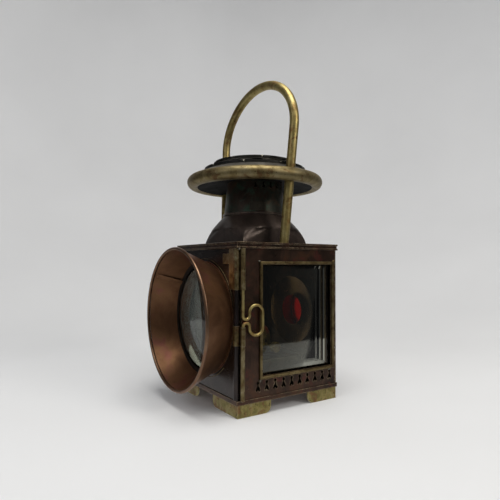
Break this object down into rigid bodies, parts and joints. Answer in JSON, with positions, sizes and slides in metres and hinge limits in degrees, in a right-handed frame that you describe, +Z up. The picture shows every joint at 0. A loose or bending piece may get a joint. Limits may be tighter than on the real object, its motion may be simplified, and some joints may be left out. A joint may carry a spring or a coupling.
{
  "type": "ship lantern",
  "caption": "Square copper oil lantern with a hooded bullseye door, bevelled side windows, a vented chimney with brim, four brass feet and a tall fixed carrying bow.",
  "frame": {"origin": "centre of the case on the plane that the four feet stand on", "axes": "+Z up, the hooded lens faces -Y, the catch and the right window are on +X"},
  "size_m": [0.159, 0.1866, 0.3662],
  "materials": {
    "case_copper": "browned copper, satin",
    "dark_copper": "dark bronze patina, satin",
    "hood_copper": "warm copper, satin, heat tinted",
    "aged_brass": "aged brass, satin",
    "blackened": "sooted, matt",
    "clear_glass": "clear",
    "red_glass": "deep red",
    "tinplate": "dull tinplate",
    "wick_cotton": "woven cotton"
  },
  "bodies": {
    "case": {"base_pan": "case_copper", "foot_front_right": "aged_brass", "foot_front_left": "aged_brass", "foot_rear_right": "aged_brass", "foot_rear_left": "aged_brass", "side_panel_right": "case_copper", "side_panel_left": "case_copper", "back_panel": "case_copper", "front_frame": "case_copper", "corner_post": "case_copper", "roof_plate": "case_copper", "window_frame_right": "aged_brass", "window_frame_left": "aged_brass", "window_glass_right": "clear_glass", "window_glass_left": "clear_glass", "glass_channel_right": "tinplate", "glass_channel_left": "tinplate", "dome": "dark_copper", "neck_collar": "dark_copper", "neck": "dark_copper", "neck_patch": "aged_brass", "brim_plate": "blackened", "brim_ring": "aged_brass", "cap_cone": "blackened", "crown_lower_disc": "blackened", "crown_baffle": "blackened", "crown_top_disc": "blackened", "handle": "aged_brass", "handle_nuts": "aged_brass", "hinge_body_knuckles": "aged_brass", "hinge_pins": "aged_brass", "latch_tube_upper": "aged_brass", "latch_tube_lower": "aged_brass", "corner_roll": "aged_brass", "reflector": "hood_copper", "rear_tube": "case_copper", "red_lens": "red_glass", "rear_bezel": "aged_brass", "oil_font": "tinplate", "font_rails": "tinplate", "filler_neck": "aged_brass", "burner_collar": "aged_brass", "burner_body": "aged_brass", "wick_tube": "aged_brass", "flame_cone": "aged_brass"},
    "door": {"front_door": "dark_copper", "hood": "hood_copper", "hood_rim": "hood_copper", "lens": "clear_glass", "lens_ring": "aged_brass", "door_edge_roll": "dark_copper", "door_strap_upper": "aged_brass", "door_strap_lower": "aged_brass", "hinge_door_knuckles": "aged_brass"},
    "latch": {"latch_wire": "aged_brass"},
    "winder": {"winder_spindle": "aged_brass", "winder_knob": "aged_brass"},
    "wick": {"wick": "wick_cotton"},
    "filler_cap": {"filler_cap": "aged_brass"}
  },
  "joints": [
    {"name": "door_hinge", "type": "hinge", "parent": "case", "child": "door", "pos_m": [-0.0706, -0.0652, 0.09], "axis": [0, 0, -1], "range_deg": [0, 110]},
    {"name": "latch_lift", "type": "slide", "parent": "case", "child": "latch", "axis": [0, 0, 1], "range_m": [0, 0.018]},
    {"name": "winder_turn", "type": "hinge", "parent": "case", "child": "winder", "pos_m": [0, 0.0019, 0.0585], "axis": [1, 0, 0], "range_deg": [-100, 130]},
    {"name": "wick_slide", "type": "slide", "parent": "case", "child": "wick", "axis": [0, 0, 1], "range_m": [-0.0085, 0.0062]},
    {"name": "cap_lift", "type": "slide", "parent": "case", "child": "filler_cap", "axis": [0, 0, 1], "range_m": [0, 0.014]}
  ],
  "couplings": [
    {"joint": "wick_slide", "follows": "winder_turn", "m_per_rad": -0.0034}
  ]
}
